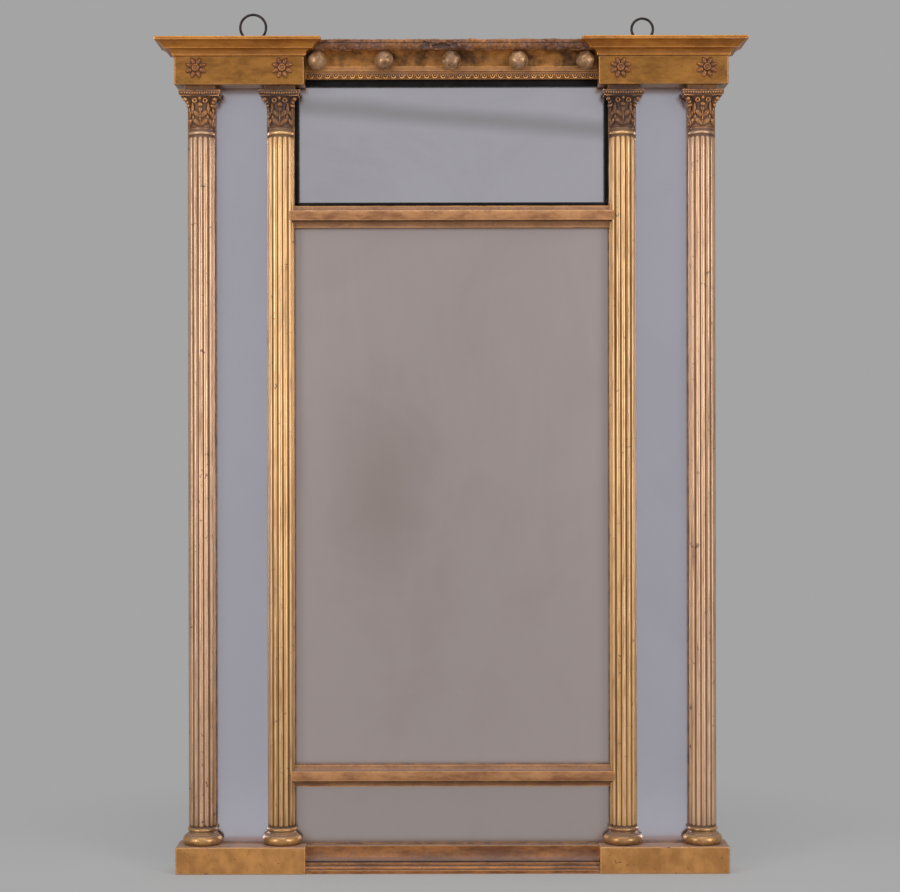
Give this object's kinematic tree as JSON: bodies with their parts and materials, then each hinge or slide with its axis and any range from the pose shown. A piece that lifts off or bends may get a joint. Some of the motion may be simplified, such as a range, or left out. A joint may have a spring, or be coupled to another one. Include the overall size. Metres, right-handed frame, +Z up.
{
  "type": "pier mirror",
  "caption": "Giltwood breakfront pier mirror: reeded half columns, leaf capitals, ball cornice with rosetted blocks, silvered plates, iron hanging rings.",
  "frame": {"origin": "middle of the back, on the face that lies against the wall", "axes": "+Y into the wall, -Y towards the room, +Z up, +X to the right as seen from the room"},
  "size_m": [0.7376, 0.072, 1.0862],
  "materials": {
    "water_gilding": "worn water gilding over red clay and gesso, satin",
    "silvered_glass": "old silvered plate, slightly grey, smudged",
    "ebonised_wood": "black, glossy",
    "carcass_pine": "aged softwood, bare",
    "board_pine": "aged softwood boards, bare",
    "wrought_iron": "dark forged iron, dull"
  },
  "bodies": {
    "frame": {"backboard_nails": "wrought_iron", "base_moulding": "water_gilding", "bottom_rail": "carcass_pine", "centre_backboard": "board_pine", "centre_cornice_top": "water_gilding", "centre_hollow": "water_gilding", "centre_left_backboard": "board_pine", "centre_right_backboard": "board_pine", "cornice_balls": "water_gilding", "ebonised_slip": "ebonised_wood", "glue_blocks": "board_pine", "hanger_screws": "wrought_iron", "leaf_tip_border": "water_gilding", "left_block_cornice": "water_gilding", "left_frieze_block": "water_gilding", "left_hanger_plate": "wrought_iron", "left_inner_capital": "water_gilding", "left_inner_column": "water_gilding", "left_inner_rosette": "water_gilding", "left_inner_stile": "carcass_pine", "left_mirror_plate": "silvered_glass", "left_outer_capital": "water_gilding", "left_outer_column": "water_gilding", "left_outer_rosette": "water_gilding", "left_outer_stile": "carcass_pine", "left_plinth_block": "water_gilding", "left_side_backboard": "board_pine", "lower_cross_rail": "carcass_pine", "lower_mirror_plate": "silvered_glass", "lower_rail_face": "water_gilding", "main_mirror_plate": "silvered_glass", "right_block_cornice": "water_gilding", "right_frieze_block": "water_gilding", "right_hanger_plate": "wrought_iron", "right_inner_capital": "water_gilding", "right_inner_column": "water_gilding", "right_inner_rosette": "water_gilding", "right_inner_stile": "carcass_pine", "right_mirror_plate": "silvered_glass", "right_outer_capital": "water_gilding", "right_outer_column": "water_gilding", "right_outer_rosette": "water_gilding", "right_outer_stile": "carcass_pine", "right_plinth_block": "water_gilding", "right_side_backboard": "board_pine", "top_rail": "carcass_pine", "upper_cross_rail": "carcass_pine", "upper_mirror_plate": "silvered_glass", "upper_rail_face": "water_gilding"},
    "left_ring": {"left_hanging_ring": "wrought_iron"},
    "right_ring": {"right_hanging_ring": "wrought_iron"}
  },
  "joints": [
    {"name": "left_ring_swing", "type": "hinge", "parent": "frame", "child": "left_ring", "pos_m": [-0.252, -0.0043, 0.5354], "axis": [1, 0, 0], "range_deg": [-165, 97]},
    {"name": "right_ring_swing", "type": "hinge", "parent": "frame", "child": "right_ring", "pos_m": [0.243, -0.0043, 0.5354], "axis": [1, 0, 0], "range_deg": [-165, 97]}
  ]
}
